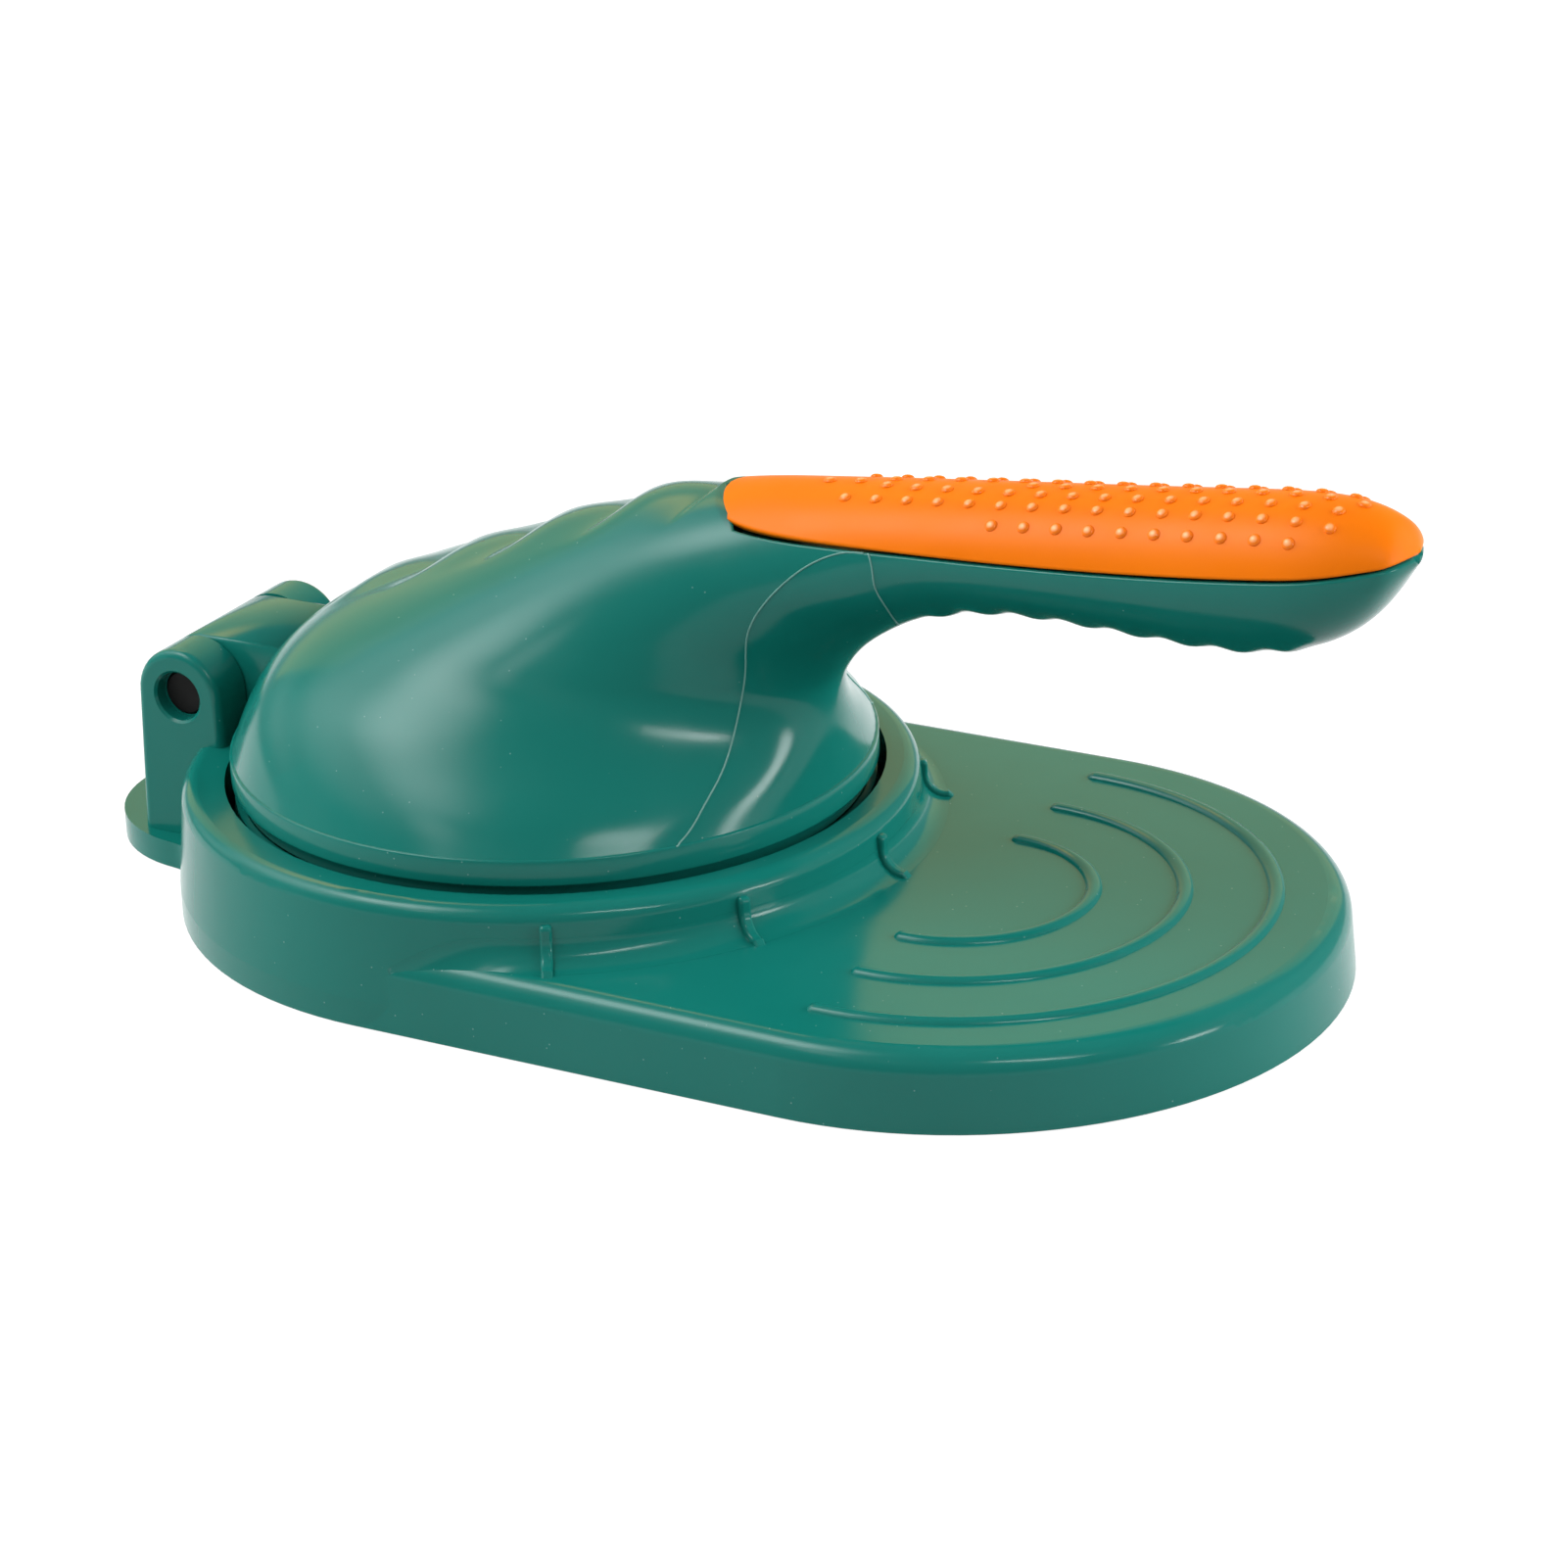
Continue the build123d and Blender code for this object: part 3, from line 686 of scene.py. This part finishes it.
def neck_lines(lid, finish):
    """The fine raised lines that the mould leaves on both sides of the neck."""
    surface = surface_tree(lid)
    steps_per_point = 12
    places, edges = [], []
    for line in mould_lines:
        line = np.array(line)
        length = chords(line)
        fine = smooth_line(length, line)(np.linspace(0, length[-1], steps_per_point * len(line)))
        for side in (1, -1):
            first = len(places)
            places += [surface.find_nearest(Vector(p))[0] for p in to_scene(fine * (1, side, 1))]
            edges += [(k, k + 1) for k in range(first, len(places) - 1)]
    mesh = bpy.data.meshes.new("neck_lines")
    mesh.from_pydata(places, edges, [])
    start = placed("neck_lines", mesh)

    lines = NodeTree("neck_lines", Radius=0.001)
    path = lines.node("GeometryNodeMeshToCurve", Mesh=lines.given.outputs["Geometry"])
    ring = lines.node("GeometryNodeCurvePrimitiveCircle", Radius=lines.given.outputs["Radius"])
    ring.inputs["Resolution"].default_value = 8
    bead = lines.node("GeometryNodeCurveToMesh", Curve=path.outputs[0], Profile_Curve=ring.outputs[0])
    bead.inputs["Fill Caps"].default_value = True
    lines.finish(bead.outputs[0])
    return lines.piece("neck_lines", start, finish, Radius=mould_line_r * MM)


def apron_distance(point):
    """Distance from a point to the apron's rounded slab, and the way out of it."""
    x, y, z = point
    middle = np.array((min(max(x, 0), apron_run), 0))
    away = np.array((x, y)) - middle
    out = np.linalg.norm(away)
    slope = math.radians(apron_draft)
    side = (out - wall_foot_r + (z - apron_low) * math.tan(slope)) * math.cos(slope) + apron_edge
    over = z - apron_top + apron_edge
    flat = away / out
    if side <= 0:
        return over - apron_edge, np.array((0, 0, 1.0))
    if over <= 0:
        return side - apron_edge, np.array((*(flat * math.cos(slope)), math.sin(slope)))
    size = math.hypot(side, over)
    return size - apron_edge, np.array((*(flat * side / size), over / size))


def wall_foot():
    """The hollow curve at the round wall's foot, where a ball would roll along wall and apron.
    It narrows to nothing where the wall and the apron's side become one."""
    lean = (wall_foot_r - wall_top_r) / (wall_top - wall_low)
    last_angle, columns, rows = 88.0, 260, 12
    under = 0.5
    curve = []
    for angle in np.radians(np.linspace(-last_angle, last_angle, columns)):
        round_way = np.array((math.cos(angle), math.sin(angle), 0))
        growth = smooth_step(*hollow_grows, abs(math.degrees(angle)))
        ball_r = hollow_r * (1 + hollow_growth * growth)

        def centre(z):
            """Middle of the ball that touches the wall, at height z."""
            return round_way * (wall_foot_r - lean * (z - wall_low) + ball_r) + np.array((0, 0, z))

        def sunk(z):
            """Whether that ball cuts into the apron."""
            return apron_distance(centre(z))[0] < ball_r

        if not sunk(wall_low):
            continue
        ball = centre(halved(wall_low, apron_top + 2 * ball_r, sunk))
        to_wall, to_apron = -round_way, -apron_distance(ball)[1]
        turn = math.acos(np.clip(to_wall @ to_apron, -1, 1))
        share = np.linspace(0, 1, rows)[:, None]
        ways = (np.sin((1 - share) * turn) * to_wall + np.sin(share * turn) * to_apron) / math.sin(turn)
        skin = ball + ways * (ball_r - hollow_lift)
        back = ball + ways[::-1] * (ball_r + under)
        curve.append(np.concatenate((skin, back)))
    points = np.array(curve)
    count = points.shape[1]
    index = np.arange(points[..., 0].size).reshape(points.shape[:2])
    faces = grid_faces(np.concatenate((index, index[:, :1]), axis=1))
    faces += [list(index[0]), list(index[-1][::-1])]
    piece = mesh_object("wall_foot", points.reshape(-1, 3), faces)
    shell = bmesh.new()
    shell.from_mesh(piece.data)
    bmesh.ops.recalc_face_normals(shell, faces=shell.faces)
    # The skin's two rims are sharp, where it turns over into its hidden back
    for edge in shell.edges:
        ends = {vert.index % count for vert in edge.verts}
        if ends in ({rows - 1, rows}, {0, count - 1}, {0}, {rows - 1}):
            edge.smooth = False
    shell.to_mesh(piece.data)
    shell.free()
    return piece


# Materials. Nearly all of a noise's values lie between these two.
noise_low = 0.3
noise_high = 0.7


def new_material(name):
    """A material, its tree, its shader and the place on the piece that patterns start from."""
    material = bpy.data.materials.new(name)
    material.use_nodes = True
    tree = material.node_tree
    shader = tree.nodes["Principled BSDF"]
    place = tree.nodes.new("ShaderNodeTexCoord")
    return material, tree, shader, place.outputs["Object"]


def noise(tree, place, scale, detail=3.0, roughness=0.5):
    node = tree.nodes.new("ShaderNodeTexNoise")
    node.inputs["Scale"].default_value = scale
    node.inputs["Detail"].default_value = detail
    node.inputs["Roughness"].default_value = roughness
    tree.links.new(place, node.inputs["Vector"])
    return node.outputs["Fac"]


def ramp(tree, source, low, high):
    """A noise run through two stops; low and high are colours."""
    node = tree.nodes.new("ShaderNodeValToRGB")
    stops = node.color_ramp.elements
    stops[0].position, stops[0].color = noise_low, (*low, 1)
    stops[1].position, stops[1].color = noise_high, (*high, 1)
    tree.links.new(source, node.inputs["Fac"])
    return node.outputs["Color"]


def spread(tree, source, low, high, low_at=noise_low, high_at=noise_high):
    """Source stretched from low_at..high_at to low..high."""
    node = tree.nodes.new("ShaderNodeMapRange")
    for name, value in zip(("From Min", "From Max", "To Min", "To Max"), (low_at, high_at, low, high)):
        node.inputs[name].default_value = value
    tree.links.new(source, node.inputs["Value"])
    return node.outputs["Result"]


def bump(tree, height, strength, distance, before=None):
    node = tree.nodes.new("ShaderNodeBump")
    node.inputs["Strength"].default_value = strength
    node.inputs["Distance"].default_value = distance
    tree.links.new(height, node.inputs["Height"])
    if before is not None:
        tree.links.new(before, node.inputs["Normal"])
    return node.outputs["Normal"]


def combined(tree, operation, first, second):
    """Two values worked into one."""
    node = tree.nodes.new("ShaderNodeMath")
    node.operation = operation
    tree.links.new(first, node.inputs[0])
    tree.links.new(second, node.inputs[1])
    return node.outputs[0]


def mixed(tree, share, first, second):
    """First turned into second by share. Each is a colour or the output of a node."""
    node = tree.nodes.new("ShaderNodeMix")
    node.data_type = "RGBA"
    tree.links.new(share, node.inputs[0])
    for socket, colour in ((node.inputs[6], first), (node.inputs[7], second)):
        if isinstance(colour, tuple):
            socket.default_value = (*colour, 1)
        else:
            tree.links.new(colour, socket)
    return node.outputs[2]


def specked(tree, place, plain, pale):
    """Plain colour with a few fine pale specks of pigment in it."""
    scale, speck_core, speck_rim = 620.0, 0.054, 0.09
    share_full, share_none = 0.25, 0.3
    cells = tree.nodes.new("ShaderNodeTexVoronoi")
    cells.inputs["Scale"].default_value = scale
    tree.links.new(place, cells.inputs["Vector"])
    near = spread(tree, cells.outputs["Distance"], 1.0, 0.0, speck_core, speck_rim)
    chosen = spread(tree, cells.outputs["Color"], 1.0, 0.0, share_full, share_none)
    return mixed(tree, combined(tree, "MULTIPLY", near, chosen), plain, pale)


def moulded_green(name, dark, light, gloss_low, gloss_high):
    """Glossy moulded plastic with faint flow marks, pale specks and slightly uneven gloss."""
    material, tree, shader, place = new_material(name)
    plain = ramp(tree, noise(tree, place, 18.0, 4.0, 0.55), dark, light)
    tree.links.new(specked(tree, place, plain, (0.12, 0.3, 0.27)), shader.inputs["Base Color"])
    tree.links.new(spread(tree, noise(tree, place, 90.0, 3.0), gloss_low, gloss_high),
                   shader.inputs["Roughness"])
    fine = bump(tree, noise(tree, place, 2600.0, 2.0), 0.05, 0.0001)
    wave = bump(tree, noise(tree, place, 120.0, 1.0), 0.08, 0.0003, fine)
    tree.links.new(wave, shader.inputs["Normal"])
    shader.inputs["IOR"].default_value = 1.45
    shader.inputs["Specular IOR Level"].default_value = 0.27
    return material


def satin_orange(name, gloss_low, gloss_high, gloss, painted_glint_tips=False):
    """Soft-touch orange plastic; gloss is how strongly it mirrors. The last argument paints the tips of the
    dots pale: a painted highlight standing in for their glints."""
    material, tree, shader, place = new_material(name)
    plain = ramp(tree, noise(tree, place, 25.0, 3.0), (0.84, 0.172, 0.0008), (0.9, 0.195, 0.0015))
    if painted_glint_tips:
        # Painted highlight: each dot's top is painted pale pink by its height, in place of a glint
        height = tree.nodes.new("ShaderNodeAttribute")
        height.attribute_name = "tip"
        glint_share = spread(tree, height.outputs["Fac"], 0.0, 0.75, 0.74, 0.99)
        plain = mixed(tree, glint_share, plain, (1.0, 0.52, 0.24))
    tree.links.new(plain, shader.inputs["Base Color"])
    tree.links.new(spread(tree, noise(tree, place, 140.0), gloss_low, gloss_high),
                   shader.inputs["Roughness"])
    tree.links.new(bump(tree, noise(tree, place, 3000.0, 2.0), 0.12, 0.0001), shader.inputs["Normal"])
    shader.inputs["IOR"].default_value = 1.45
    shader.inputs["Specular IOR Level"].default_value = gloss
    return material


def black_nylon_bore_shade():
    material, tree, shader, place = new_material("black_nylon_bore_shade")
    # Black nylon with painted shade: its black is darker than nylon, so that the pin deep in the ear's bore
    # looks as dark as the shade there
    tree.links.new(ramp(tree, noise(tree, place, 200.0), (0.002, 0.002, 0.002), (0.005, 0.005, 0.005)),
                   shader.inputs["Base Color"])
    tree.links.new(spread(tree, noise(tree, place, 400.0), 0.45, 0.6), shader.inputs["Roughness"])
    shader.inputs["Specular IOR Level"].default_value = 0.15
    return material


def black_rubber():
    material, tree, shader, place = new_material("black_rubber")
    tree.links.new(ramp(tree, noise(tree, place, 150.0), (0.018, 0.018, 0.018), (0.035, 0.035, 0.035)),
                   shader.inputs["Base Color"])
    tree.links.new(spread(tree, noise(tree, place, 300.0), 0.75, 0.9), shader.inputs["Roughness"])
    tree.links.new(bump(tree, noise(tree, place, 1800.0), 0.3, 0.0002), shader.inputs["Normal"])
    return material


def plated_steel():
    material, tree, shader, place = new_material("plated_steel")
    tree.links.new(ramp(tree, noise(tree, place, 500.0), (0.5, 0.5, 0.52), (0.66, 0.66, 0.67)),
                   shader.inputs["Base Color"])
    tree.links.new(spread(tree, noise(tree, place, 900.0), 0.25, 0.4), shader.inputs["Roughness"])
    shader.inputs["Metallic"].default_value = 1.0
    return material


def clothe(piece, material):
    piece.data.materials.clear()
    piece.data.materials.append(material)


shell_green = moulded_green("shell_green", (0.0035, 0.148, 0.12), (0.0055, 0.166, 0.137), 0.13, 0.2)
plate_green = moulded_green("plate_green", (0.0035, 0.148, 0.12), (0.0055, 0.166, 0.137), 0.2, 0.28)
# The mould lines' paler green is a painted highlight along the raised lines
painted_highlight_line_green = moulded_green("painted_highlight_line_green", (0.1, 0.27, 0.235), (0.16, 0.35, 0.31), 0.3, 0.4)
orange = satin_orange("satin_orange", 0.34, 0.44, 0.12)
# The dots' finish paints their tops pale, a painted highlight
dot_orange = satin_orange("dot_orange", 0.2, 0.26, 0.35, painted_glint_tips=True)
nylon_bore_shade = black_nylon_bore_shade()
rubber = black_rubber()
steel = plated_steel()

for node_name, cad_piece in nodes.items():
    if "screw" in node_name:
        clothe(cad_piece, steel)
    elif node_name.startswith("foot"):
        clothe(cad_piece, rubber)
    elif node_name == "hinge_pin":
        clothe(cad_piece, nylon_bore_shade)
    elif node_name in ("bed_plate", "press_plate"):
        clothe(cad_piece, plate_green)
    elif node_name == "base_shell":
        clothe(cad_piece, shell_green)

lid_shape, lid = lid_body()
lid = joined("lid_cover", lid, knuckle())
lid_shape.shade(lid)
clothe(lid, shell_green)
lines = neck_lines(lid, painted_highlight_line_green)
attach(lines, "lid")
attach(lid, "lid")
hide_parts("lid_shell")

grip = grip_cover()
clothe(grip, orange)
dots = raised_dots(grip, dot_orange)
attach(dots, "lid")
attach(grip, "lid")
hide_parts("grip_pad")

foot_curve = wall_foot()
clothe(foot_curve, shell_green)
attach(foot_curve, "base")


# Floor, light and camera

def light_path(tree, *kinds):
    """1 for a ray of one of the kinds, 0 for any other."""
    rays = tree.nodes.new("ShaderNodeLightPath")
    total = rays.outputs[kinds[0]]
    for kind in kinds[1:]:
        total = combined(tree, "MAXIMUM", total, rays.outputs[kind])
    return total


def floor():
    """White paper, which keeps a faint shadow and lights the press no more than a grey card."""
    size = 30.0
    paper_glow, paper_shade, card_grey, mottle = 0.84, 0.3, 0.42, 0.02
    corners = [(-size, -size, 0), (size, -size, 0), (size, size, 0), (-size, size, 0)]
    mesh = bpy.data.meshes.new("floor")
    mesh.from_pydata(corners, [], [(0, 1, 2, 3)])
    sheet = placed("floor", mesh)
    material, tree, shader, place = new_material("floor_paper")
    grain = noise(tree, place, 3.0)
    seen = light_path(tree, "Is Camera Ray", "Is Glossy Ray", "Is Transmission Ray")
    paper = ramp(tree, grain, (paper_shade - mottle,) * 3, (paper_shade,) * 3)
    card = ramp(tree, grain, (card_grey - mottle,) * 3, (card_grey,) * 3)
    tree.links.new(mixed(tree, seen, card, paper), shader.inputs["Base Color"])
    shader.inputs["Roughness"].default_value = 0.9
    shader.inputs["Specular IOR Level"].default_value = 0.0
    shader.inputs["Emission Color"].default_value = (1, 1, 1, 1)
    tree.links.new(spread(tree, seen, 0.0, paper_glow, 0.0, 1.0), shader.inputs["Emission Strength"])
    clothe(sheet, material)


def soften(data, edge):
    """Lets a lamp's face fade towards its edge, over that share of its half width."""
    data.use_nodes = True
    tree = data.node_tree
    face = tree.nodes.new("ShaderNodeNewGeometry")
    middle = tree.nodes.new("ShaderNodeVectorMath")
    middle.operation = "DISTANCE"
    middle.inputs[1].default_value = (0.5, 0.5, 0)
    tree.links.new(face.outputs["Parametric"], middle.inputs[0])
    fade = tree.nodes.new("ShaderNodeMapRange")
    fade.interpolation_type = "SMOOTHSTEP"
    for label, value in zip(("From Min", "From Max", "To Min", "To Max"), (0.5 - edge / 2, 0.5, 1.0, 0.0)):
        fade.inputs[label].default_value = value
    tree.links.new(middle.outputs["Value"], fade.inputs["Value"])
    tree.links.new(fade.outputs["Result"], tree.nodes["Emission"].inputs["Strength"])


def lamp(name, azimuth, elevation, distance, width, height, bright, colour=(1, 1, 1), *,
         role, edge=0.0, roll=0.0):
    """A softbox aimed at the press. Azimuth is turned from +X towards +Y, in degrees, bright is
    how bright its face looks next to white paper, edge is how much of it fades, and roll turns
    it about its aim, in degrees. Its role is fill, which only lights the colours, or mirror,
    which only shows in the gloss."""
    data = bpy.data.lights.new(name, "AREA")
    data.shape = "RECTANGLE"
    data.size, data.size_y = width, height
    data.energy = math.pi * width * height * bright
    data.color = colour
    if edge:
        soften(data, edge)
    box = placed(name, data)
    a, e = math.radians(azimuth), math.radians(elevation)
    away = Vector((math.cos(a) * math.cos(e), math.sin(a) * math.cos(e), math.sin(e)))
    aim = Vector((0, 0, 0.035))
    box.location = aim + away * distance
    tilt = Matrix.Rotation(math.radians(roll), 4, "Z")
    box.rotation_euler = ((-away).to_track_quat("-Z", "Y").to_matrix().to_4x4() @ tilt).to_euler()
    box.visible_camera = False
    box.visible_diffuse = role == "fill"
    box.visible_glossy = role == "mirror"


def world():
    """The even light of the room."""
    room_grey, room_light = 0.5, 0.66
    sky = bpy.data.worlds.new("studio")
    sky.use_nodes = True
    sky.node_tree.nodes["Background"].inputs["Color"].default_value = (room_grey, room_grey, room_grey, 1)
    sky.node_tree.nodes["Background"].inputs["Strength"].default_value = room_light
    bpy.context.scene.world = sky


def camera():
    """The photograph's camera, as it was fitted: lens, place and the ways ahead and up."""
    lens = 112.4
    stand = (372.5, -594.04, 307.83)
    ahead = Vector((-0.44954523, 0.80568725, -0.38571641)).normalized()
    up = Vector((-0.15982335, 0.35229253, 0.92214232)).normalized()
    data = bpy.data.cameras.new("camera")
    data.sensor_width = 36.0
    data.lens = lens
    data.clip_start, data.clip_end = 0.05, 90
    right = ahead.cross(up).normalized()
    up = right.cross(ahead)
    turn = Matrix((right, up, -ahead)).transposed().to_4x4()
    view = placed("camera", data)
    view.matrix_world = Matrix.Translation(Vector(to_scene(stand))) @ turn
    bpy.context.scene.camera = view


floor()
world()

# Azimuth, elevation, distance, width, height, brightness and any tint of each lamp
lamp("fill_left", 208, 52, 1.1, 1.0, 0.7, 3.6, role="fill")
lamp("fill_low_left", 200, 10, 1.2, 1.0, 0.5, 5.2, role="fill")
lamp("fill_front", -95, 42, 1.2, 0.5, 0.4, 4.2, role="fill")
lamp("fill_right", 30, 14, 1.2, 1.6, 1.0, 5.0, role="fill")
lamp("softbox_left", 216, 60, 1.1, 0.95, 0.7, 9.0, edge=0.9, role="mirror")
lamp("veil_left", 195, 44, 1.3, 1.9, 1.4, 3.4, edge=1.0, role="mirror")
lamp("softbox_front", -112, 46, 1.2, 0.4, 0.4, 4.0, edge=1.0, role="mirror")
lamp("strip_front", -38, 42, 1.1, 0.55, 0.07, 24.0, edge=0.1, roll=-42, role="mirror")
lamp("window_right", 3, 8, 1.2, 0.36, 0.24, 17.0, edge=0.4, role="mirror")
lamp("card_left", 180, 16, 1.2, 1.2, 0.6, 0.9, edge=1.0, role="mirror")
lamp("warm_card_high", 138, 44, 1.3, 0.9, 0.5, 3.6, (1.0, 0.6, 0.08), edge=0.8, role="mirror")
lamp("warm_card_back", 120, 26, 1.4, 2.0, 1.0, 0.7, (1.0, 0.82, 0.02), role="mirror")

camera()
bpy.context.scene.view_settings.view_transform = "Standard"
